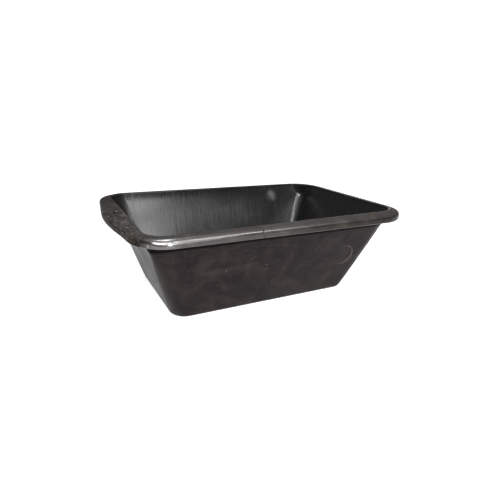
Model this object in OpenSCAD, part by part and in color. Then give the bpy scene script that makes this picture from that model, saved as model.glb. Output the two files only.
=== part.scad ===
// Barrow tray: a tapered open tub for mixing and carrying, with a hollow
// edging gripping its mouth and a wide bowed carrying lip at one end.
// +X runs from the lip end to the plain end, +Z is up, and the origin is
// on the ground, under the middle of the overall outline.

/* [Mouth] */
// Length of the mouth between the crests of the edging
mouth_l = 800; // [700:5:900]
// Width of the mouth between the crests of the edging
mouth_w = 524; // [480:2:600]
// Height of the crests above the ground
tray_h = 276; // [220:1:340]
// Radius of the mouth's corners at the lip end, in plan
lip_end_r = 56; // [44:1:80]
// Radius of the mouth's corners at the plain end, in plan
plain_end_r = 77; // [50:1:90]

/* [Floor] */
// Length of the standing face
floor_l = 586; // [500:2:600]
// Width of the standing face
floor_w = 356; // [300:2:400]
// How far the floor starts in from the lip end of the mouth
floor_start = 87; // [60:1:95]
// Radius of the floor's corners at the lip end, in plan
floor_lip_r = 46; // [34:1:70]
// Radius of the floor's corners at the plain end, in plan
floor_plain_r = 34; // [28:1:70]
// Radius where the floor turns up into the walls
bottom_r = 17; // [8:1:20]

/* [Shell] */
// Thickness of the moulded walls and floor
wall_t = 4; // [3:0.5:5]
// Width of the flange that the edging grips
flange_w = 14; // [12:1:14]

/* [Edging] */
// Width of the edging, out from the crest
rim_w = 32; // [31:1:40]
// Depth of the edging, down from the crest
rim_drop = 26; // [25:1:30]
// Thickness of the edging's own wall
rim_t = 2.5; // [2:0.5:3]
// Downward slope of the edging's top, in degrees
rim_slope = 14.6; // [8:0.1:16]
// Distance of the joint in the front edging from the lip end
front_joint = 292; // [200:2:400]
// Distance of the joint in the end edging from the middle
end_joint = 23; // [10:1:60]

/* [Lip] */
// How much wider than the edging the lip is at its middle
lip_bow = 22; // [20:1:36]
// Distance of the eyelet from the crest
eyelet_u = 21; // [21:1:29]
// Radius of the hole through the eyelet
eyelet_r = 4.5; // [3:0.5:5]

/* [Hidden] */

// The mouth's two ends and its side.
x_lip = (lip_bow - mouth_l) / 2;
x_end = x_lip + mouth_l;
y_side = mouth_w / 2;

// The edging's section: u runs out from the crest line and v up from it.
// The crest bead slopes down to the outer bend, and the face under the
// bend ends in the bottom edge, which returns a little way inwards.
crest_c = [2.5, -5.5];
crest_r = 5.5;
top_a = 90 - rim_slope;
bead_end = crest_c + crest_r * [cos(top_a), sin(top_a)];
bend_r = 11;
bend_u = rim_w - bend_r;
bend_start_u = bend_u + bend_r * cos(top_a);
bend_start_v = bead_end[1] - (bend_start_u - bead_end[0]) * tan(rim_slope);
bend_c = [bend_u, bend_start_v - bend_r * sin(top_a)];
edge_r = 3.5;
edge_c = [rim_w - edge_r, edge_r - rim_drop];
return_u = rim_w - 12;
// The gap that is left at a butt joint, and round whatever the edging holds.
butt_gap = 0.6;
mitre_gap_a = 0.4;
fit_gap = 0.1;

// The walls run straight up to the underside of the crest bead.
wall_top = tray_h + crest_c[1];
lean = atan((mouth_w - floor_w) / 2 / tray_h);
wall_span = wall_t / cos(lean);
grip_r = crest_r - rim_t - fit_gap;
wall_u = crest_c[0] - grip_r + wall_span;
corner_steps = 10;

// The lip meets the edging this far round each corner at the lip end, and
// its extra width dies out a little beyond that, in the corner's middle.
mitre_a = 35;
lip_straight = y_side - lip_end_r;
lip_half = lip_straight + (lip_end_r + rim_w) * PI / 4;

// Joiner strips lie inside the edging, across each butt joint.
strip_t = 2;
strip_u = flange_w + 3;
strip_half = 28;
strip_turn = 20;

// One rivet holds each lip joiner, this far round from the joint, low on
// the edging's outer face.
rivet_turn = 15;
rivet_v = edge_c[1] + 2.5;
shank_r = 1.6;
shank_gap = 0.05;
head_r = 2.7;
head_h = 1.4;
tail_r = 2.5;
tail_h = 1.4;

// The lip's top at its middle, where the eyelet sits.
lip_slope = atan((bead_end[1] - bend_start_v) / (bend_start_u + lip_bow - bead_end[0]));
eyelet_v = bead_end[1] - (eyelet_u - bead_end[0]) * tan(lip_slope);
barrel_r = eyelet_r + 1.5;
flange_r = eyelet_r + 4.5;
flange_h = 1.6;
flange_edge = 0.8;
mouth_edge = 1;
seat_gap = 0.05;
curl_gap = 0.15;
curl_r = 0.7;
curl_u = 1.6;

function backwards(list) = [for (i = [len(list) - 1:-1:0]) list[i]];
function turn(a) = [cos(a), sin(a)];
function arc(c, r, a0, a1, n) = [for (i = [0:n]) c + r * turn(a0 + (a1 - a0) * i / n)];

// The edging's upper side, from the crest bead to the foot of the outer
// bend, moved in by a distance d.
function upper_side(d) = concat(
    arc(crest_c, crest_r - d, 180, top_a, 6),
    arc(bend_c, bend_r - d, top_a, 0, 6)
);

// The edging's whole section, out over the top and back through the hollow.
function rim_section() = concat(
    upper_side(0),
    arc(edge_c, edge_r, 0, -90, 4),
    [[return_u, -rim_drop], [return_u, rim_t - rim_drop]],
    arc(edge_c, edge_r - rim_t, -90, 0, 4),
    backwards(upper_side(rim_t))
);

// One face of a joiner strip, a distance d inside the edging's outside.
function strip_face(d) = let (
    bend = arc(bend_c, bend_r - d, top_a, 0, 8)
) concat(
    [[strip_u, bend[0][1] + (bend[0][0] - strip_u) * tan(rim_slope)]],
    bend,
    [[rim_w - d, edge_c[1]]]
);

module rim_profile() {
    polygon(rim_section());
}

module strip_profile() {
    near = rim_t + fit_gap;
    polygon(concat(strip_face(near), backwards(strip_face(near + strip_t))));
}

// A straight run of a section from point p along heading a, with the
// section's u pointing out to the left of the heading.
module run(p, a, length) {
    translate([p[0], p[1], tray_h])
        rotate([0, 0, a])
            rotate([90, 0, 90])
                linear_extrude(height = length) children();
}

// A section turned round a corner of the mouth, from angle a0 to a1. The
// corner is at the lip end or the plain end, at the front or the back.
module round_corner(at_lip, side, a0, a1) {
    r = at_lip ? lip_end_r : plain_end_r;
    translate([at_lip ? x_lip + r : x_end - r, side * (y_side - r), tray_h])
        rotate([0, 0, a0])
            rotate_extrude(angle = a1 - a0, $fn = 96)
                translate([r, 0]) children();
}

// Where a rivet crosses the edging's outer face, with Z pointing outwards.
module at_rivet(side) {
    translate([x_lip + lip_end_r, side * lip_straight, tray_h + rivet_v])
        rotate([0, 0, 180 - side * (mitre_a + rivet_turn)])
            rotate([0, 90, 0])
                translate([0, 0, lip_end_r + rim_w]) children();
}

module rivet_hole(side) {
    at_rivet(side) cylinder(h = 20, r = shank_r, center = true, $fn = 32);
}

// Where the eyelet sits on the lip's top, with Z square to the surface.
module at_eyelet() {
    translate([x_lip - eyelet_u, 0, tray_h + eyelet_v])
        rotate([0, -lip_slope, 0]) children();
}

// A closed solid through rings that all have the same number of points.
module loft(rings) {
    n = len(rings[0]);
    m = len(rings);
    sides = [for (j = [0:m - 2]) for (i = [0:n - 1]) let (k = (i + 1) % n) each [
        [j * n + i, (j + 1) * n + i, (j + 1) * n + k],
        [j * n + i, (j + 1) * n + k, j * n + k]
    ]];
    ends = [[for (i = [0:n - 1]) i], [for (i = [n - 1:-1:0]) (m - 1) * n + i]];
    polyhedron([for (r = rings) each r], concat(sides, ends), convexity = 6);
}

// A level ring of the shell's outer face at height z, moved out by off.
function ring(z, off) = let (
    f = z / wall_top,
    x0 = (1 - f) * (x_lip + floor_start) + f * (x_lip - wall_u) - off,
    x1 = (1 - f) * (x_lip + floor_start + floor_l) + f * (x_end + wall_u) + off,
    y1 = (1 - f) * floor_w / 2 + f * (y_side + wall_u) + off,
    r0 = (1 - f) * floor_lip_r + f * (lip_end_r + wall_u) + off,
    r1 = (1 - f) * floor_plain_r + f * (plain_end_r + wall_u) + off
) [for (q = [0:3]) for (i = [0:corner_steps]) let (
    a = 90 * (q + i / corner_steps),
    at_lip = q == 1 || q == 2,
    r = at_lip ? r0 : r1,
    cx = at_lip ? x0 + r : x1 - r,
    cy = (q < 2) ? y1 - r : r - y1
) [cx + r * cos(a), cy + r * sin(a), z]];

// The turn from the floor up into the walls, as [height, offset] pairs.
function turn_up(r) = [for (i = [0:5]) let (
    a = (90 - lean) * i / 5,
    h = r * (1 - cos(a))
) [h, r * sin(a) - r * tan(45 - lean / 2) - h * tan(lean)]];

// The shell's flange lies against the underside of the edging's top.
function flange_v(u) = crest_c[1] + grip_r * sin(top_a)
    - (u - crest_c[0] - grip_r * cos(top_a)) * tan(rim_slope);

module tray_shell() {
    neck = wall_top - 2 * wall_t;
    flange = concat(
        [[wall_u + wall_t, flange_v(wall_u + wall_t) - wall_t]],
        [[flange_w, flange_v(flange_w) - wall_t], [flange_w, flange_v(flange_w)]],
        arc(crest_c, grip_r, top_a, 180, 4)
    );
    color("#2b2a2c")
        loft(concat(
            [for (p = turn_up(bottom_r)) ring(p[0], p[1])],
            [ring(neck, 0)],
            [for (p = flange) [for (q = ring(wall_top, p[0] - wall_u)) [q[0], q[1], tray_h + p[1]]]],
            [ring(neck, -wall_span)],
            backwards([for (p = turn_up(bottom_r - wall_t / 2)) ring(wall_t + p[0], p[1] - wall_span)])
        ));
}

// How much wider than the edging the lip is, at a distance s from its
// middle along its outer edge.
function bow(s) = lip_bow * pow(cos(90 * s / lip_half), 2);

// The lip's crest line as [point, outward direction, extra width], from the
// joint at the front corner to the joint at the back corner.
lip_steps = 16;
turn_steps = 5;
function lip_turn(side, k) = let (
    a = mitre_a * k / turn_steps
) [
    [x_lip + lip_end_r, side * lip_straight] + lip_end_r * turn(180 - side * a),
    turn(180 - side * a),
    bow(lip_straight + (lip_end_r + rim_w) * a * PI / 180)
];
lip_line = concat(
    [for (k = [turn_steps:-1:0]) lip_turn(-1, k)],
    [for (i = [1:lip_steps - 1]) let (
        y = lip_straight * (2 * i / lip_steps - 1)
    ) [[x_lip, y], [-1, 0], bow(abs(y))]],
    [for (k = [0:turn_steps]) lip_turn(1, k)]
);

// Only the sloping top is stretched where the lip is wider.
function stretched(u, extra) = u + extra * min(1, max(0, (u - bead_end[0]) / (bend_u - bead_end[0])));

module end_lip() {
    color("#33302f")
        difference() {
            loft([for (s = lip_line) [for (p = rim_section()) let (
                q = s[0] + s[1] * stretched(p[0], s[2])
            ) [q[0], q[1], tray_h + p[1]]]]);
            at_eyelet() cylinder(h = 16, r = barrel_r + fit_gap, center = true, $fn = 48);
        }
}

// The edging of the back side's lip corner, and a straight run on from it.
module lip_corner_rim(length) {
    run([x_lip + lip_end_r, y_side], 0, length) rim_profile();
    round_corner(true, 1, 90, 180 - mitre_a - mitre_gap_a) rim_profile();
}

module rim_front_left() {
    color("#3a3837")
        mirror([0, 1, 0]) difference() {
            lip_corner_rim(front_joint - butt_gap / 2 - lip_end_r);
            rivet_hole(1);
        }
}

module rim_front_right() {
    joint_x = x_lip + front_joint + butt_gap / 2;
    joint_y = -end_joint - butt_gap / 2;
    color("#3a3837")
        union() {
            run([x_end - plain_end_r, -y_side], 180, x_end - plain_end_r - joint_x) rim_profile();
            round_corner(false, -1, 270, 360) rim_profile();
            run([x_end, joint_y], -90, joint_y + y_side - plain_end_r) rim_profile();
        }
}

module rim_back() {
    joint_y = -end_joint + butt_gap / 2;
    color("#3a3837")
        difference() {
            union() {
                run([x_end, y_side - plain_end_r], -90, y_side - plain_end_r - joint_y) rim_profile();
                round_corner(false, 1, 0, 90) rim_profile();
                lip_corner_rim(mouth_l - lip_end_r - plain_end_r);
            }
            rivet_hole(1);
        }
}

module joiner_front() {
    color("#55504c") run([x_lip + front_joint + strip_half, -y_side], 180, 2 * strip_half) strip_profile();
}

module joiner_end() {
    color("#55504c") run([x_end, strip_half - end_joint], -90, 2 * strip_half) strip_profile();
}

module lip_joiner(side) {
    middle = 180 - side * mitre_a;
    color("#55504c")
        difference() {
            round_corner(true, side, middle - strip_turn, middle + strip_turn) strip_profile();
            rivet_hole(side);
        }
}

module lip_rivets() {
    grip = rim_t + fit_gap + strip_t;
    color("#b9b4ac")
        for (side = [-1, 1]) at_rivet(side)
            rotate_extrude($fn = 48)
                polygon(concat(
                    [[0, -grip - tail_h], [tail_r, -grip - tail_h], [tail_r, -grip - fit_gap]],
                    [[shank_r - shank_gap, -grip - fit_gap], [shank_r - shank_gap, fit_gap]],
                    [for (i = [0:6]) [head_r * cos(15 * i), fit_gap + head_h * sin(15 * i)]]
                ));
}

module lip_eyelet() {
    foot = -rim_t - curl_gap;
    color("#8d8880")
        at_eyelet() rotate_extrude($fn = 72)
            polygon(concat(
                arc([eyelet_r + mouth_edge, flange_h - mouth_edge], mouth_edge, 180, 90, 4),
                arc([flange_r - flange_edge, flange_h - flange_edge], flange_edge, 90, 0, 4),
                [[flange_r, seat_gap], [barrel_r, seat_gap], [barrel_r, foot]],
                arc([barrel_r + curl_u, foot - curl_r], curl_r, 90, -90, 4),
                arc([eyelet_r + mouth_edge, foot - 2 * curl_r + mouth_edge], mouth_edge, 270, 180, 4)
            ));
}

tray_shell();
end_lip();
rim_front_left();
rim_front_right();
rim_back();
joiner_front();
joiner_end();
lip_joiner(-1);  // joiner_lip_front
lip_joiner(1);  // joiner_lip_back
lip_rivets();
lip_eyelet();
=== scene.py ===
import math

import bmesh
import bpy
import numpy as np
from mathutils import Matrix, Vector, noise


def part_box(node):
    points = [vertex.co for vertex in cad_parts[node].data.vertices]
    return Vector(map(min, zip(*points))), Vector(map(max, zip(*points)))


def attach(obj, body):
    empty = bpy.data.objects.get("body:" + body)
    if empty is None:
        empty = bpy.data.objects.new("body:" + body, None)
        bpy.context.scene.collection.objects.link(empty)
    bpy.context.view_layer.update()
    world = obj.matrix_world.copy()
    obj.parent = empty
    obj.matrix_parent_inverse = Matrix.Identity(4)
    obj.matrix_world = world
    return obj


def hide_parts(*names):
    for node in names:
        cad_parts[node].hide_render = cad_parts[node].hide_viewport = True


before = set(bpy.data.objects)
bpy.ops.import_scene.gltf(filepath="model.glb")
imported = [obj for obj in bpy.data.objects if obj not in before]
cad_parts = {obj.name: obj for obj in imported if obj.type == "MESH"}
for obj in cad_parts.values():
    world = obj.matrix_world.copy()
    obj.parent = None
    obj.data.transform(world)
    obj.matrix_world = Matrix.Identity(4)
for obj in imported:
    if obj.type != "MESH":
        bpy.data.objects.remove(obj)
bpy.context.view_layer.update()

# ---------------------------------------------------------------- measures
# Metres, in the frame's own axes. What the frame's boxes give is read from
# them; the rest are the section sizes that a box can't show.

MM = 0.001
QUARTER = math.pi / 2
FLANGE_W = 14 * MM
WALL_T = 4 * MM
EDGING_T = 2.5 * MM
GRIP_GAP = 0.1 * MM
LIP_END_R = 56 * MM
PLAIN_END_R = 77 * MM
FLOOR_LIP_R = 46 * MM
FLOOR_PLAIN_R = 34 * MM
BOTTOM_R = 17 * MM
FLOOR_START = 87 * MM
FLOOR_L = 586 * MM
FLOOR_W = 356 * MM
BUTT_GAP = 0.6 * MM
FRONT_JOINT = 292 * MM
END_JOINT = 23 * MM
EYELET_R = 4.5 * MM
EYELET_U = 21 * MM

shell_low, shell_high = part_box("tray_shell")
back_low, back_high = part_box("rim_back")
lip_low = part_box("end_lip")[0]

TRAY_H = back_high.z
RIM_DROP = back_high.z - back_low.z
Y_SIDE = shell_high.y - FLANGE_W
X_LIP = shell_low.x + FLANGE_W
X_END = shell_high.x - FLANGE_W
RIM_W = back_high.y - Y_SIDE
LIP_BOW = X_LIP - RIM_W - lip_low.x
WALL_TOP = TRAY_H - 5.5 * MM
LEAN = math.atan((2 * Y_SIDE - FLOOR_W) / 2 / TRAY_H)

# The edging's section, u out from the crest line and v up from it: a round
# bead that grips the flange, a sloping top, a bend, a side and a return.
SLOPE = math.radians(14.6)
TOP_A = QUARTER - SLOPE
CREST_C = np.array([2.5, -5.5]) * MM
CREST_R = 5.5 * MM
BEAD_END = CREST_C + CREST_R * np.array([math.cos(TOP_A), math.sin(TOP_A)])
BEND_R = 11 * MM
BEND_U = RIM_W - BEND_R
BEND_START_U = BEND_U + BEND_R * math.cos(TOP_A)
BEND_START_V = BEAD_END[1] - (BEND_START_U - BEAD_END[0]) * math.tan(SLOPE)
EDGE_R = 3.5 * MM
EDGE_C = np.array([RIM_W - EDGE_R, EDGE_R - RIM_DROP])
RETURN_U = RIM_W - 12 * MM
GRIP_R = CREST_R - EDGING_T - GRIP_GAP
WALL_SPAN = WALL_T / math.cos(LEAN)
WALL_U = CREST_C[0] - GRIP_R + WALL_SPAN

# The lengths of the crest line's stretches, and the places of the joints
# along it, from the lip's middle round by the front.
LIP_STRAIGHT = Y_SIDE - LIP_END_R
LIP_TURN = LIP_END_R * QUARTER
FRONT_LEN = X_END - X_LIP - LIP_END_R - PLAIN_END_R
PLAIN_TURN = PLAIN_END_R * QUARTER
END_STRAIGHT = Y_SIDE - PLAIN_END_R
FRONT_START = LIP_STRAIGHT + LIP_TURN
END_START = FRONT_START + FRONT_LEN + PLAIN_TURN
CREST_LEN = 2 * (END_START + END_STRAIGHT)
MITRE_S = LIP_STRAIGHT + LIP_END_R * math.radians(35)
FRONT_JOINT_S = FRONT_START + FRONT_JOINT - LIP_END_R
END_JOINT_S = END_START + END_STRAIGHT - END_JOINT
LIP_HALF = LIP_STRAIGHT + (LIP_END_R + RIM_W) * QUARTER / 2

# The thick root under the flange, hidden for the most part by the edging.
ROOT_W = 9 * MM
ROOT_H = 42 * MM

# How the long soft mouldings depart from their regular shapes: the front
# crest's sag at the lip end and its rise at the other, the drop of the front
# edging's lower edge, the share by which the plain end's top is flatter, the
# wider bend at the front lip corner, the back wall's belly, and how far the
# walls and the edging wander.
CREST_SAG = 3.6 * MM
CREST_RISE = 2.4 * MM
FRONT_DROP = 2.4 * MM
END_FLATTEN = 0.09
BEND_GROWTH = 7.3 * MM
BACK_BELLY = 66 * MM
WALL_BELLY = 1.6 * MM
WALL_DRIFT = 1.4 * MM
WALL_RIPPLE = 0.25 * MM
EDGING_DRIFT_U = 0.7 * MM
EDGING_DRIFT_V = 0.45 * MM

# Where use has marked the walls and the edging.
RUB_PLACE = Vector((0.235, -0.225, 0.135))
RUB_R = 34 * MM
SCUFF_PLACE = Vector((0.246, 0.250, 0.236))
POLISH_PLACE = Vector((-0.362, -0.278, 0.262))


# ---------------------------------------------------------------- mesh help

def arc(centre, radius, start, end, steps):
    """Points on a circle from one angle to another."""
    a = np.linspace(start, end, steps + 1)
    return np.stack([centre[0] + radius * np.cos(a), centre[1] + radius * np.sin(a)], 1)


def smooth(x):
    """0 below 0 and 1 above 1, with a soft step between."""
    x = min(1.0, max(0.0, x))
    return x * x * (3 - 2 * x)


def ring_faces(rows, columns):
    """Quads between rings of points, each ring closed on itself."""
    faces = []
    for j in range(rows - 1):
        for i in range(columns):
            k = (i + 1) % columns
            faces.append((j * columns + i, j * columns + k, (j + 1) * columns + k, (j + 1) * columns + i))
    return faces


def loft(rows):
    """The points and faces of a solid through rings of points: the sides,
    then a cap on the first ring and one on the last."""
    columns = len(rows[0])
    points = [p for row in rows for p in row]
    faces = ring_faces(len(rows), columns)
    faces.append(tuple(range(columns)))
    faces.append(tuple(reversed(range((len(rows) - 1) * columns, len(rows) * columns))))
    return points, faces


def make_mesh(name, points, faces, materials, sharp_angle, face_material=None):
    """An object with its normals outward, smooth but for its sharp edges."""
    mesh = bpy.data.meshes.new(name)
    mesh.from_pydata([tuple(p) for p in points], [], faces)
    for material in materials:
        mesh.materials.append(material)
    if face_material is not None:
        mesh.polygons.foreach_set("material_index", face_material)
    bm = bmesh.new()
    bm.from_mesh(mesh)
    bmesh.ops.recalc_face_normals(bm, faces=bm.faces)
    bm.to_mesh(mesh)
    bm.free()
    mesh.polygons.foreach_set("use_smooth", [True] * len(mesh.polygons))
    mesh.set_sharp_from_angle(angle=sharp_angle)
    piece = bpy.data.objects.new(name, mesh)
    bpy.context.collection.objects.link(piece)
    return piece


def wander(x, y, z, size, seed):
    """A smooth value from about -1 to 1 that changes over lengths of size."""
    return noise.noise(Vector((x / size + seed, y / size + 2 * seed, z / size - seed)))


# ---------------------------------------------------------------- the shell

def plan_ring(x0, x1, y1, radii, corner_steps=16, long_steps=30, short_steps=18):
    """A rounded rectangle: the four corners' turns from the back at the
    plain end round by the lip, with the straights between them divided."""
    turns = []
    for q, r in enumerate(radii):
        cx = x0 + r if q in (1, 2) else x1 - r
        cy = y1 - r if q < 2 else r - y1
        turns.append(arc((cx, cy), r, q * QUARTER, (q + 1) * QUARTER, corner_steps))
    ring = []
    for q in range(4):
        ring.append(turns[q])
        steps = long_steps if q % 2 == 0 else short_steps
        ring.append(np.linspace(turns[q][-1], turns[(q + 1) % 4][0], steps + 1)[1:-1])
    return np.concatenate(ring)


# Corner radii at the floor, half way up, just under the edging and at the
# crest: back plain, back lip, front lip and front plain. The corner under the
# lip's front end is drawn out to an edge on the outside only.
HEIGHTS = (0.0, 0.45, 0.86, 1.0)
BACK_PLAIN = (FLOOR_PLAIN_R, 25 * MM, 31 * MM, PLAIN_END_R)
BACK_LIP = (FLOOR_LIP_R, 50 * MM, 53 * MM, LIP_END_R)
FRONT_PLAIN = (FLOOR_PLAIN_R, 53 * MM, 71 * MM, PLAIN_END_R)
OUTSIDE_CORNERS = (BACK_PLAIN, BACK_LIP, (FLOOR_LIP_R, 38 * MM, 10 * MM, LIP_END_R), FRONT_PLAIN)
INSIDE_CORNERS = (BACK_PLAIN, BACK_LIP, BACK_LIP, FRONT_PLAIN)


def wall_ring(z, off, corners=OUTSIDE_CORNERS):
    """The tapered tub's outline at height z, moved outward by off."""
    f = z / WALL_TOP
    floor_x = X_LIP + FLOOR_START
    spread = off + f * WALL_U
    radii = [max(4 * MM, float(np.interp(f, HEIGHTS, profile)) + spread) for profile in corners]
    return plan_ring(
        (1 - f) * floor_x + f * (X_LIP - WALL_U) - off,
        (1 - f) * (floor_x + FLOOR_L) + f * (X_END + WALL_U) + off,
        (1 - f) * FLOOR_W / 2 + f * (Y_SIDE + WALL_U) + off,
        radii,
    )


def turn_up(radius, steps=9):
    """The rounding from the floor into the leaning wall: heights, and how
    far inside the wall's own face the ring lies at each."""
    reach = radius * math.tan((QUARTER - LEAN) / 2)
    rows = []
    for a in np.linspace(0, QUARTER - LEAN, steps + 1):
        h = radius * (1 - math.cos(a))
        rows.append((h, radius * math.sin(a) - reach - h * math.tan(LEAN)))
    return rows


def flange_v(u):
    """Height of the flange's sloping top at u, from the crest."""
    start = CREST_C + GRIP_R * np.array([math.cos(TOP_A), math.sin(TOP_A)])
    return start[1] - (u - start[0]) * math.tan(SLOPE)


def crest_shift(x, y):
    """The front edge's crest sags at the lip end and rides up at the other."""
    front = min(1.0, max(0.0, -y / Y_SIDE)) ** 3
    along = (x - X_LIP) / (X_END - X_LIP)
    return front * ((CREST_SAG + CREST_RISE) * along - CREST_SAG)


def warped_wall(ring, z):
    """The walls are not quite flat: they belly out and wander a little, and
    the back bellies most, close under its edging."""
    centre = np.array([(X_LIP + X_END) / 2, 0.0])
    height = min(max(z / WALL_TOP, 0.0), 1.0)
    hold = 4 * height * (1 - height)
    out = []
    for x, y in ring:
        away = np.array([x, y]) - centre
        away /= np.linalg.norm(away)
        amount = hold * (WALL_BELLY + WALL_DRIFT * wander(x, y, z, 0.16, 3.1))
        amount += WALL_RIPPLE * wander(x, y, z, 0.03, 7.7)
        belly = BACK_BELLY * max(0.0, y / Y_SIDE) ** 2 * height ** 4 * (1 - height)
        lift = crest_shift(x, y) * max(0.0, height - 0.6) / 0.4
        out.append((x + away[0] * amount, y + away[1] * amount + belly, z + lift))
    return out


def build_shell(outside, inside):
    """One closed skin: up the outside, over the flange, down the inside."""
    middle = np.array([X_LIP + FLOOR_START + FLOOR_L / 2, 0.0])
    floor_steps = (0.02, 0.25, 0.5, 0.7, 0.85, 0.94)

    def floor_rows(ring, z, dish):
        """Rings from the middle of a slightly raised floor out to its edge."""
        made = []
        for k in floor_steps:
            row = []
            for x, y in middle + (ring - middle) * k:
                uneven = 0.3 * MM * wander(x, y, z, 0.12, 5.0) * (1 - k)
                row.append((x, y, z + dish * (1 - k * k) + uneven))
            made.append(row)
        return made

    outer_turn = turn_up(BOTTOM_R)
    rows = floor_rows(wall_ring(0, outer_turn[0][1]), 0.0, 0.6 * MM)
    for h, off in outer_turn:
        rows.append([(x, y, h) for x, y in wall_ring(h, off)])
    neck = WALL_TOP - 2 * WALL_T
    for z in np.linspace(outer_turn[-1][0], neck, 30)[1:]:
        flare = ROOT_W * max(0.0, 1 - (neck - z) / ROOT_H) ** 2
        rows.append(warped_wall(wall_ring(z, flare), z))
    root_u = WALL_U + ROOT_W + WALL_T / 2
    edge = 0.6 * MM
    flange = [
        (root_u, flange_v(root_u) - WALL_T),
        (FLANGE_W - edge, flange_v(FLANGE_W) - WALL_T),
        (FLANGE_W, flange_v(FLANGE_W) - WALL_T + edge),
        (FLANGE_W, flange_v(FLANGE_W) - edge),
        (FLANGE_W - edge, flange_v(FLANGE_W - edge)),
    ] + [tuple(p) for p in arc(CREST_C, GRIP_R, TOP_A, math.pi, 8)]
    for u, v in flange:
        ring = wall_ring(WALL_TOP, u - WALL_U)
        rows.append([(x, y, TRAY_H + v + crest_shift(x, y)) for x, y in ring])
    # The inside's material starts within the edging, a little before the wall.
    outside_rows = len(rows) - 3
    inner_turn = turn_up(BOTTOM_R - WALL_T / 2)
    for z in np.linspace(neck, WALL_T + inner_turn[-1][0], 30):
        rows.append(warped_wall(wall_ring(z, -WALL_SPAN, INSIDE_CORNERS), z))
    for h, off in reversed(inner_turn[:-1]):
        rows.append([(x, y, WALL_T + h) for x, y in wall_ring(WALL_T + h, off - WALL_SPAN, INSIDE_CORNERS)])
    floor_edge = wall_ring(WALL_T, inner_turn[0][1] - WALL_SPAN, INSIDE_CORNERS)
    rows += list(reversed(floor_rows(floor_edge, WALL_T, 0.9 * MM)))

    points, faces = loft(rows)
    sides = len(faces) - 2
    first_inside = outside_rows * len(rows[0])
    marks = [0] * first_inside + [1] * (sides - first_inside) + [0, 1]
    shell = make_mesh("shell_moulding", points, faces, [outside, inside], math.radians(50), marks)
    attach(shell, "root")
    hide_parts("tray_shell")


# ---------------------------------------------------------------- the edging

def crest_point(s):
    """The crest line's point and outward direction, s along it from the
    lip's middle: down the lip end, along the front and up the plain end.
    The back half mirrors the front one."""
    s = s % CREST_LEN
    if s > CREST_LEN / 2:
        point, out = crest_point(CREST_LEN - s)
        return point * (1, -1), out * (1, -1)

    def turn(cx, cy, r, start, along):
        a = start + along / r
        n = np.array([math.cos(a), math.sin(a)])
        return np.array([cx, cy]) + r * n, n

    if s < LIP_STRAIGHT:
        return np.array([X_LIP, -s]), np.array([-1.0, 0.0])
    s -= LIP_STRAIGHT
    if s < LIP_TURN:
        return turn(X_LIP + LIP_END_R, -LIP_STRAIGHT, LIP_END_R, math.pi, s)
    s -= LIP_TURN
    if s < FRONT_LEN:
        return np.array([X_LIP + LIP_END_R + s, -Y_SIDE]), np.array([0.0, -1.0])
    s -= FRONT_LEN
    if s < PLAIN_TURN:
        return turn(X_END - PLAIN_END_R, -END_STRAIGHT, PLAIN_END_R, -QUARTER, s)
    s -= PLAIN_TURN
    return np.array([X_END, s - END_STRAIGHT]), np.array([1.0, 0.0])


def edging_section(inset, bend_r):
    """The hollow section, pulled in all round by inset for a worn end."""
    bend_u = RIM_W - bend_r
    start = np.array([bend_u + bend_r * math.cos(TOP_A), 0.0])
    start[1] = BEAD_END[1] - (start[0] - BEAD_END[0]) * math.tan(SLOPE)
    bend_c = np.array([bend_u, start[1] - bend_r * math.sin(TOP_A)])
    square = np.array([math.cos(TOP_A), math.sin(TOP_A)])

    def upper(d):
        return np.concatenate([
            arc(CREST_C, CREST_R - d, math.pi, TOP_A, 8),
            np.linspace(BEAD_END, start, 7)[1:-1] - d * square,
            arc(bend_c, bend_r - d, TOP_A, 0, 12),
        ])

    return np.concatenate([
        upper(inset),
        arc(EDGE_C, EDGE_R - inset, 0, -QUARTER, 6),
        [[RETURN_U + inset, -RIM_DROP + inset], [RETURN_U + inset, -RIM_DROP + EDGING_T - inset]],
        arc(EDGE_C, EDGE_R - EDGING_T + inset, -QUARTER, 0, 4),
        upper(EDGING_T - inset)[::-1],
    ])


def bend_radius(s):
    """The bend is drawn out round at the front of the lip end, and narrows
    again before the joint in the front."""
    rise = (s - FRONT_START + 0.42 * LIP_TURN) / (0.18 * LIP_TURN)
    fall = (FRONT_JOINT_S - 40 * MM - s) / (150 * MM)
    return BEND_R + BEND_GROWTH * smooth(rise) * smooth(fall)


def lip_extra(s):
    """How much wider than the edging the lip is, s from its middle."""
    s = abs(s)
    outer = s
    if s > LIP_STRAIGHT:
        outer = LIP_STRAIGHT + (s - LIP_STRAIGHT) * (LIP_END_R + RIM_W) / LIP_END_R
    return LIP_BOW * math.cos(QUARTER * outer / LIP_HALF) ** 2 if outer < LIP_HALF else 0.0


def edging_ring(s, inset=0.0):
    """The section at s, with the unevenness of a long soft moulding."""
    section = edging_section(inset, bend_radius(s))
    base, out = crest_point(s)
    extra = lip_extra(s if s < CREST_LEN / 2 else s - CREST_LEN)
    ring = []
    for u, v in section:
        weight = min(1.0, max(0.0, (u - BEAD_END[0]) / (BEND_U - BEAD_END[0])))
        x, y = base + out * (u + extra * weight)
        du = weight * EDGING_DRIFT_U * wander(x, y, 0.0, 0.11, 11.0)
        dv = (0.35 + 0.65 * weight) * EDGING_DRIFT_V * wander(x, y, 0.0, 0.13, 17.0)
        dv -= FRONT_DROP * max(0.0, -out[1]) ** 3 * (v / RIM_DROP) ** 2
        dv += END_FLATTEN * max(0.0, out[0]) ** 2 * max(0.0, u - BEAD_END[0])
        dv += (1 - weight) * crest_shift(x, y)
        ring.append((x + out[0] * du, y + out[1] * du, TRAY_H + v + dv))
    return ring


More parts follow.
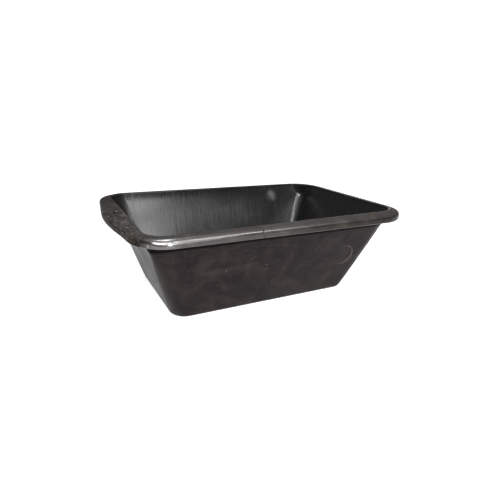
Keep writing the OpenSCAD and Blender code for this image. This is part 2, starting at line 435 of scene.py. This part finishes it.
def build_edging(name, node, start, end, material, spacing=5 * MM):
    """A length of the hollow section, its ends worn slightly round."""
    worn = 0.5 * MM
    count = max(8, int((end - start) / spacing))
    rows = [edging_ring(start, worn * 0.9), edging_ring(start + worn * 0.5, worn * 0.45)]
    rows += [edging_ring(s) for s in np.linspace(start + worn * 1.6, end - worn * 1.6, count + 1)]
    rows += [edging_ring(end - worn * 0.5, worn * 0.45), edging_ring(end, worn * 0.9)]
    points, faces = loft(rows)
    piece = make_mesh(name, points, faces, [material], math.radians(40))
    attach(piece, "root")
    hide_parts(node)
    return piece


# ---------------------------------------------------------------- the eyelet

LIP_SLOPE = math.atan((BEAD_END[1] - BEND_START_V) / (BEND_START_U + LIP_BOW - BEAD_END[0]))
EYELET_V = BEAD_END[1] - (EYELET_U - BEAD_END[0]) * math.tan(LIP_SLOPE)
BARREL_R = EYELET_R + 1.5 * MM
# The side of the ring where a glint is painted into the steel's colour as a pale spot.
GLINT_PLACE = Vector((X_LIP - EYELET_U + 6 * MM, 4 * MM, TRAY_H + EYELET_V))


def eyelet_place():
    """Puts the eyelet's own Z square to the lip's top, in its middle."""
    at = Matrix.Translation((X_LIP - EYELET_U, 0, TRAY_H + EYELET_V))
    return at @ Matrix.Rotation(-LIP_SLOPE, 4, "Y")


def revolved(name, profile, place, material, steps):
    """A ring of a closed profile, turned about Z and set down by place."""
    points = []
    for r, z in profile:
        for t in np.arange(steps) * 2 * math.pi / steps:
            points.append(place @ Vector((r * math.cos(t), r * math.sin(t), z)))
    n = len(points)
    faces = [tuple(i % n for i in face) for face in ring_faces(len(profile) + 1, steps)]
    return make_mesh(name, points, faces, [material], math.radians(40))


def build_eyelet(material):
    """A pressed ring: its flange on the lip, its barrel curled over below."""
    flange_r = EYELET_R + 4.5 * MM
    profile = np.concatenate([
        arc((EYELET_R + 1 * MM, 0.6 * MM), 1 * MM, math.pi, QUARTER, 6),
        arc((flange_r - 0.8 * MM, 0.8 * MM), 0.8 * MM, QUARTER, 0, 6),
        [[flange_r, 0.05 * MM], [BARREL_R, 0.05 * MM], [BARREL_R, -EDGING_T - 0.15 * MM]],
        arc((BARREL_R + 1.6 * MM, -EDGING_T - 0.85 * MM), 0.7 * MM, QUARTER, -QUARTER, 6),
        arc((EYELET_R + 1 * MM, -EDGING_T - 0.55 * MM), 1 * MM, 3 * QUARTER, math.pi, 6),
    ])
    piece = revolved("eyelet_ring", profile, eyelet_place(), material, 96)
    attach(piece, "root")
    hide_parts("lip_eyelet")


def cut_eyelet_hole(lip):
    """The hole in the lip that the eyelet's barrel passes through."""
    bpy.ops.mesh.primitive_cylinder_add(vertices=96, radius=BARREL_R + GRIP_GAP, depth=30 * MM)
    drill = bpy.context.object
    drill.matrix_world = eyelet_place()
    cut = lip.modifiers.new("hole", "BOOLEAN")
    cut.operation = "DIFFERENCE"
    cut.solver = "EXACT"
    cut.object = drill
    with bpy.context.temp_override(object=lip, active_object=lip):
        bpy.ops.object.modifier_apply(modifier=cut.name)
    bpy.data.objects.remove(drill)


# ---------------------------------------------------------------- materials

class Shader:
    """A small helper that adds and links nodes of one material. A Mix node
    keeps sockets 2 and 3 for values, and 6 and 7 for colours."""

    def __init__(self, name):
        self.material = bpy.data.materials.new(name)
        self.material.use_nodes = True
        self.nodes = self.material.node_tree.nodes
        self.links = self.material.node_tree.links
        self.bsdf = self.nodes["Principled BSDF"]
        self.texture = self.nodes.new("ShaderNodeTexCoord")
        self.place = self.texture.outputs["Object"]

    def node(self, kind, inputs=None, **settings):
        made = self.nodes.new(kind)
        for key, value in settings.items():
            setattr(made, key, value)
        for key, value in (inputs or {}).items():
            self.put(made.inputs[key], value)
        return made

    def put(self, socket, value):
        if isinstance(value, bpy.types.NodeSocket):
            self.links.new(value, socket)
        else:
            socket.default_value = value

    def along(self, axis):
        """The place along one of the frame's axes, in metres."""
        return self.node("ShaderNodeSeparateXYZ", {0: self.place}).outputs[axis]

    def facing(self, axis, low, high):
        """1 where the surface's own normal lies along the axis."""
        normal = self.node("ShaderNodeSeparateXYZ", {0: self.texture.outputs["Normal"]}).outputs[axis]
        return self.step(self.maths("ABSOLUTE", normal), low, high)

    def blend(self, amount, a, b):
        """A value that goes from a to b with the amount."""
        made = self.node("ShaderNodeMix", {0: amount, 2: a, 3: b}, data_type="FLOAT")
        return made.outputs[0]

    def stretched(self, scale, turn=(0, 0, 0)):
        """The place, scaled and turned, so that a cloud on it is drawn out."""
        made = self.node("ShaderNodeMapping", {"Vector": self.place, "Scale": scale, "Rotation": turn})
        return made.outputs["Vector"]

    def cloud(self, scale, detail=4, rough=0.55, distort=0.0, place=None):
        return self.node("ShaderNodeTexNoise", {
            "Vector": place or self.place, "Scale": scale, "Detail": detail,
            "Roughness": rough, "Distortion": distort}).outputs["Fac"]

    def ramp(self, value, stops):
        made = self.node("ShaderNodeValToRGB", {"Fac": value})
        elements = made.color_ramp.elements
        while len(elements) < len(stops):
            elements.new(0.5)
        for element, (at, colour) in zip(elements, stops):
            element.position = at
            element.color = (*colour, 1)
        return made.outputs["Color"]

    def step(self, value, low, high, to_low=0.0, to_high=1.0):
        """Goes softly from to_low to to_high as the value passes low to high."""
        return self.node("ShaderNodeMapRange", {
            "Value": value, "From Min": low, "From Max": high,
            "To Min": to_low, "To Max": to_high}, interpolation_type="SMOOTHSTEP").outputs["Result"]

    def maths(self, operation, a, b=0.0):
        return self.node("ShaderNodeMath", {0: a, 1: b}, operation=operation).outputs[0]

    def product(self, a, b):
        return self.maths("MULTIPLY", a, b)

    def distance(self, place):
        made = self.node("ShaderNodeVectorMath", {0: self.place, 1: place}, operation="DISTANCE")
        return made.outputs["Value"]

    def mix(self, amount, a, b):
        made = self.node("ShaderNodeMix", data_type="RGBA")
        self.put(made.inputs["Factor"], amount)
        for socket, colour in ((made.inputs[6], a), (made.inputs[7], b)):
            self.put(socket, colour if isinstance(colour, bpy.types.NodeSocket) else (*colour, 1))
        return made.outputs[2]

    def bump(self, height, strength, distance, normal=None):
        made = self.node("ShaderNodeBump", {"Height": height, "Strength": strength, "Distance": distance})
        if normal is not None:
            self.links.new(normal, made.inputs["Normal"])
        return made.outputs["Normal"]

    def finish(self, colour, rough, normal=None, metallic=0.0, specular=0.5):
        self.put(self.bsdf.inputs["Base Color"], colour)
        self.put(self.bsdf.inputs["Roughness"], rough)
        self.put(self.bsdf.inputs["Metallic"], metallic)
        self.put(self.bsdf.inputs["Specular IOR Level"], specular)
        if normal is not None:
            self.links.new(normal, self.bsdf.inputs["Normal"])
        return self.material


def outside_plastic():
    """Dull and clouded, scratched along its length, with painted shade: a near-black, less shiny band just
    under the edging.
    """
    m = Shader("tray_outside")
    haze = m.cloud(13.0, 8, 0.66, 1.0)
    smear = m.cloud(3.2, 5, 0.62, 1.2, m.stretched((1.0, 1.0, 2.6), (0.0, 0.35, 0.0)))
    base = m.ramp(haze, [(0.36, (0.0032, 0.0018, 0.0021)), (0.50, (0.0062, 0.0042, 0.0045)),
                         (0.66, (0.0122, 0.0089, 0.0088))])
    colour = m.mix(m.step(smear, 0.50, 0.70, 0.0, 0.7), base, (0.0175, 0.0122, 0.0110))
    scratch = m.cloud(30.0, 3, 0.6, 0.0, m.stretched((1.0, 1.0, 20.0), (0.0, 0.14, 0.0)))
    colour = m.mix(m.step(scratch, 0.64, 0.72, 0.0, 0.6), colour, (0.048, 0.039, 0.035))
    colour = m.mix(rub_ring(m), colour, (0.070, 0.058, 0.052))
    speck = m.cloud(95.0, 2, 0.5)
    colour = m.mix(m.step(speck, 0.76, 0.80, 0.0, 0.6), colour, (0.075, 0.066, 0.058))
    # Painted shade: the top band of the wall, just under the edging, is made near black and less shiny.
    painted_shade_band = m.step(m.along("Z"), TRAY_H - 51 * MM, TRAY_H - 45 * MM)
    colour = m.mix(painted_shade_band, colour, (0.0015, 0.0012, 0.0012))
    rough = m.step(haze, 0.30, 0.75, 0.34, 0.50)
    normal = m.bump(m.cloud(160.0, 3, 0.6), 0.12, 0.4 * MM)
    normal = m.bump(m.cloud(22.0, 4, 0.55), 0.25, 1.6 * MM, normal)
    return m.finish(colour, rough, normal, specular=m.blend(painted_shade_band, 0.062, 0.02))


def inside_plastic():
    """Smoother, streaked down the walls by what was tipped out of it."""
    m = Shader("tray_inside")
    ends = m.cloud(1.0, 3, 0.6, 0.0, m.stretched((0.0, 230.0, 9.0)))
    sides = m.cloud(1.0, 3, 0.6, 0.0, m.stretched((230.0, 0.0, 9.0)))
    streak = m.blend(m.facing("Y", 0.45, 0.75), ends, sides)
    haze = m.cloud(6.0, 5, 0.6, 0.5)
    base = m.ramp(streak, [(0.32, (0.0022, 0.0022, 0.0023)), (0.55, (0.0036, 0.0036, 0.0038)),
                           (0.75, (0.0070, 0.0069, 0.0070))])
    colour = m.mix(m.step(haze, 0.55, 0.8, 0.0, 0.5), base, (0.009, 0.0088, 0.0088))
    colour = m.mix(rub_patch(m), colour, (0.085, 0.083, 0.081))
    rough = m.maths("ADD", m.step(streak, 0.3, 0.7, 0.21, 0.27), m.step(haze, 0.3, 0.8, 0.0, 0.06))
    normal = m.bump(m.cloud(180.0, 3, 0.6), 0.04, 0.4 * MM)
    normal = m.bump(streak, 0.045, 0.4 * MM, normal)
    return m.finish(colour, rough, normal, specular=0.34)


def rub_ring(m):
    """An arc rubbed pale by something round that leaned on the wall."""
    off = m.maths("ABSOLUTE", m.maths("SUBTRACT", m.distance(RUB_PLACE), RUB_R))
    band = m.step(off, 0.6 * MM, 2.6 * MM, 1.0, 0.0)
    worn = m.step(m.cloud(16.0, 4, 0.6), 0.36, 0.56, 0.1, 0.8)
    half = m.step(m.along("X"), RUB_PLACE.x - RUB_R / 2, RUB_PLACE.x + RUB_R / 2)
    return m.product(m.product(band, worn), half)


def rub_patch(m):
    """A small pale scuff high on the inside of the back."""
    fade = m.step(m.distance(SCUFF_PLACE), 6 * MM, 32 * MM, 1.0, 0.0)
    return m.product(fade, m.step(m.cloud(30.0, 4, 0.6), 0.34, 0.68, 0.08, 0.6))


def edging_plastic():
    """Brownish black. Hands have polished the front lip corner; it is dull
    along the back, beside the lip, on its sides and at the end joint."""
    m = Shader("edging")
    haze = m.cloud(14.0, 5, 0.6, 0.5)
    base = m.ramp(haze, [(0.3, (0.0040, 0.0030, 0.0025)), (0.55, (0.0085, 0.0067, 0.0056)),
                         (0.75, (0.0190, 0.0158, 0.0135))])
    rub = m.cloud(70.0, 4, 0.65, 0.8)
    colour = m.mix(m.step(rub, 0.55, 0.72, 0.0, 0.4), base, (0.045, 0.039, 0.034))
    rough = m.step(haze, 0.3, 0.8, 0.30, 0.38)
    normal = m.bump(m.cloud(220.0, 3, 0.6), 0.05, 0.3 * MM)
    normal = m.bump(m.cloud(30.0, 2, 0.5), 0.04, 0.8 * MM, normal)
    shine = m.product(
        m.step(m.along("Y"), Y_SIDE - 37 * MM, Y_SIDE - 7 * MM, 0.5, 0.12),
        m.step(m.along("X"), -0.10, 0.20, 1.0, 0.64),
    )
    off_joint = m.maths("ABSOLUTE", m.maths("ADD", m.along("Y"), END_JOINT))
    shine = m.product(shine, m.step(off_joint, 1 * MM, 4 * MM, 0.1, 1.0))
    shine = m.product(shine, m.step(m.along("X"), X_LIP - 16 * MM, X_LIP + 17 * MM, 0.35, 1.0))
    side = m.step(m.facing("Z", 0.0, 1.0), 0.15, 0.75, 0.42, 1.0)
    shine = m.product(shine, m.blend(m.step(m.along("X"), -0.25, 0.10), 1.0, side))
    polish = m.step(m.distance(POLISH_PLACE), 20 * MM, 55 * MM, 1.0, 0.0)
    rough = m.maths("SUBTRACT", rough, m.product(polish, 0.09))
    shine = m.maths("ADD", shine, m.product(polish, 0.5))
    return m.finish(colour, rough, normal, specular=shine)


def lip_plastic():
    """Swirled and flecked with paler brown, darker toward the back."""
    m = Shader("lip")
    flow = m.cloud(15.0, 6, 0.65, 2.4, m.stretched((2.4, 1.0, 1.0), (0.0, 0.0, 0.5)))
    base = m.ramp(flow, [(0.32, (0.0035, 0.0025, 0.0022)), (0.50, (0.0085, 0.0066, 0.0056)),
                         (0.64, (0.022, 0.018, 0.0155)), (0.78, (0.075, 0.066, 0.058))])
    speck = m.cloud(62.0, 5, 0.72, 1.6)
    colour = m.mix(m.step(speck, 0.55, 0.68, 0.0, 0.6), base, (0.15, 0.133, 0.117))
    far = m.step(m.along("Y"), -0.10, 0.20)
    colour = m.mix(m.product(far, 0.55), colour, (0.0040, 0.0030, 0.0026))
    rough = m.step(flow, 0.3, 0.8, 0.34, 0.55)
    normal = m.bump(m.cloud(120.0, 4, 0.6), 0.25, 0.5 * MM)
    normal = m.bump(flow, 0.5, 2.2 * MM, normal)
    shine = m.step(m.facing("Z", 0.0, 1.0), 0.4, 0.8, 0.015, 0.25)
    return m.finish(colour, rough, normal, specular=m.product(shine, m.blend(far, 1.0, 0.45)))


def worn_metal(name, dark, light, rough_low, rough_high, painted_glint_place=None):
    """Stained metal, with a glint painted as a pale spot round one place, if that is given."""
    m = Shader(name)
    stain = m.cloud(190.0, 5, 0.65, 0.6)
    colour = m.ramp(stain, [(0.35, dark), (0.65, light)])
    if painted_glint_place is not None:
        # Painted glint: a pale spot in the colour round the given place.
        painted_glint = m.step(m.distance(painted_glint_place), 2.5 * MM, 5 * MM, 1.0, 0.0)
        colour = m.mix(painted_glint, colour, (0.85, 0.83, 0.80))
    rough = m.step(stain, 0.3, 0.75, rough_low, rough_high)
    normal = m.bump(m.cloud(900.0, 3, 0.6), 0.15, 0.1 * MM)
    return m.finish(colour, rough, normal, metallic=1.0)


def pale_floor():
    """Faintly luminous, so that it stays as pale as the backdrop far away."""
    m = Shader("floor")
    tone = m.ramp(m.cloud(1.5, 3, 0.5), [(0.3, (0.49, 0.49, 0.49)), (0.7, (0.51, 0.51, 0.51))])
    m.bsdf.inputs["Emission Color"].default_value = (1, 1, 1, 1)
    m.bsdf.inputs["Emission Strength"].default_value = 0.66
    return m.finish(tone, 0.6, specular=0.1)


# ---------------------------------------------------------------- camera and light

def build_camera():
    """At the height and the side that the tray is looked at from."""
    camera = bpy.data.objects.new("camera", bpy.data.cameras.new("camera"))
    bpy.context.collection.objects.link(camera)
    yaw, pitch, roll = math.radians(28.26), math.radians(18.86), math.radians(-2.11)
    forward = Vector((math.sin(yaw) * math.cos(pitch), math.cos(yaw) * math.cos(pitch), -math.sin(pitch)))
    level = Vector((math.cos(yaw), -math.sin(yaw), 0))
    down = forward.cross(level)
    right = math.cos(roll) * level + math.sin(roll) * down
    up = math.sin(roll) * level - math.cos(roll) * down
    turn = Matrix((right, up, -forward)).transposed()
    camera.matrix_world = Matrix.Translation((-0.5948, -1.1442, 0.5518)) @ turn.to_4x4()
    camera.data.sensor_width = 36
    camera.data.lens = 29.05
    camera.data.clip_start = 0.05
    bpy.context.scene.camera = camera


def area_light(name, place, aim, width, height, power):
    """A soft box turned to its aim, which the camera itself doesn't see."""
    light = bpy.data.lights.new(name, "AREA")
    light.shape = "RECTANGLE"
    light.size, light.size_y = width, height
    light.energy = power
    lamp = bpy.data.objects.new(name, light)
    bpy.context.collection.objects.link(lamp)
    lamp.location = place
    lamp.visible_camera = False
    lamp.rotation_euler = (Vector(aim) - Vector(place)).to_track_quat("-Z", "Y").to_euler()


def sky_dome(tree):
    """A white backdrop; its light comes mostly from above, as in a tent."""
    way = tree.nodes.new("ShaderNodeTexCoord")
    split = tree.nodes.new("ShaderNodeSeparateXYZ")
    tree.links.new(way.outputs["Generated"], split.inputs[0])
    glow = tree.nodes.new("ShaderNodeMapRange")
    glow.interpolation_type = "SMOOTHSTEP"
    for key, value in (("From Min", 0.45), ("From Max", 0.90), ("To Min", 0.20), ("To Max", 1.3)):
        glow.inputs[key].default_value = value
    tree.links.new(split.outputs["Z"], glow.inputs["Value"])
    seen = tree.nodes.new("ShaderNodeLightPath")
    pick = tree.nodes.new("ShaderNodeMix")
    pick.data_type = "FLOAT"
    tree.links.new(seen.outputs["Is Camera Ray"], pick.inputs[0])
    tree.links.new(glow.outputs["Result"], pick.inputs[2])
    pick.inputs[3].default_value = 1.0
    tree.links.new(pick.outputs[0], tree.nodes["Background"].inputs["Strength"])
    tree.nodes["Background"].inputs["Color"].default_value = (1, 1, 1, 1)


def build_studio():
    """The white surround, the lights and a pale floor to stand on."""
    world = bpy.data.worlds.new("studio")
    bpy.context.scene.world = world
    world.use_nodes = True
    sky_dome(world.node_tree)
    # Name, place, aim, width, height and power in watts.
    for settings in (
        ("key", (-1.3, -2.2, 1.8), (-0.05, -0.2, 0.2), 1.2, 1.0, 108),
        ("overhead", (0.72, -1.70, 1.85), (-0.2, -0.2, 0.2), 0.9, 0.5, 50),
        ("front", (0.18, -2.1, 1.0), (-0.2, 0.2, 0.2), 0.42, 0.42, 13),
        ("corner", (-0.26, -2.15, 1.05), (-0.30, -0.28, 0.25), 0.2, 1.7, 38),
        ("behind", (2.0, 1.9, 0.70), (0.41, 0.0, 0.27), 1.1, 0.8, 4),
        ("overhead_lip", (-0.22, -0.30, 2.2), (-0.3, -0.2, 0.2), 0.55, 0.55, 22),
    ):
        area_light(*settings)
    bpy.ops.mesh.primitive_plane_add(size=60, location=(0, 0, 0))
    floor = bpy.context.object
    floor.name = "floor"
    floor.data.materials.append(pale_floor())
    bpy.context.scene.view_settings.view_transform = "Standard"


# ---------------------------------------------------------------- the whole

build_camera()
build_studio()

OUTSIDE, INSIDE = outside_plastic(), inside_plastic()
EDGING, LIP = edging_plastic(), lip_plastic()
STEEL = worn_metal("eyelet_steel", (0.004, 0.0036, 0.0034), (0.030, 0.027, 0.025), 0.2, 0.34, GLINT_PLACE)
ALLOY = worn_metal("rivet_alloy", (0.09, 0.082, 0.075), (0.28, 0.26, 0.24), 0.35, 0.55)

build_shell(OUTSIDE, INSIDE)
cut_eyelet_hole(build_edging("lip_bowed", "end_lip", -MITRE_S, MITRE_S, LIP, 4 * MM))
half_gap = BUTT_GAP / 2
for name, node, start, end in (
    ("edging_front_left", "rim_front_left", MITRE_S, FRONT_JOINT_S),
    ("edging_front_right", "rim_front_right", FRONT_JOINT_S, END_JOINT_S),
    ("edging_back", "rim_back", END_JOINT_S, CREST_LEN - MITRE_S),
):
    build_edging(name, node, start + half_gap, end - half_gap, EDGING)
build_eyelet(STEEL)

# The hidden strips and the rivets keep their CAD shapes.
for node, material in (
    ("joiner_front", INSIDE), ("joiner_end", INSIDE), ("joiner_lip_front", INSIDE),
    ("joiner_lip_back", INSIDE), ("lip_rivets", ALLOY),
):
    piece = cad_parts[node]
    piece.data.materials.clear()
    piece.data.materials.append(material)
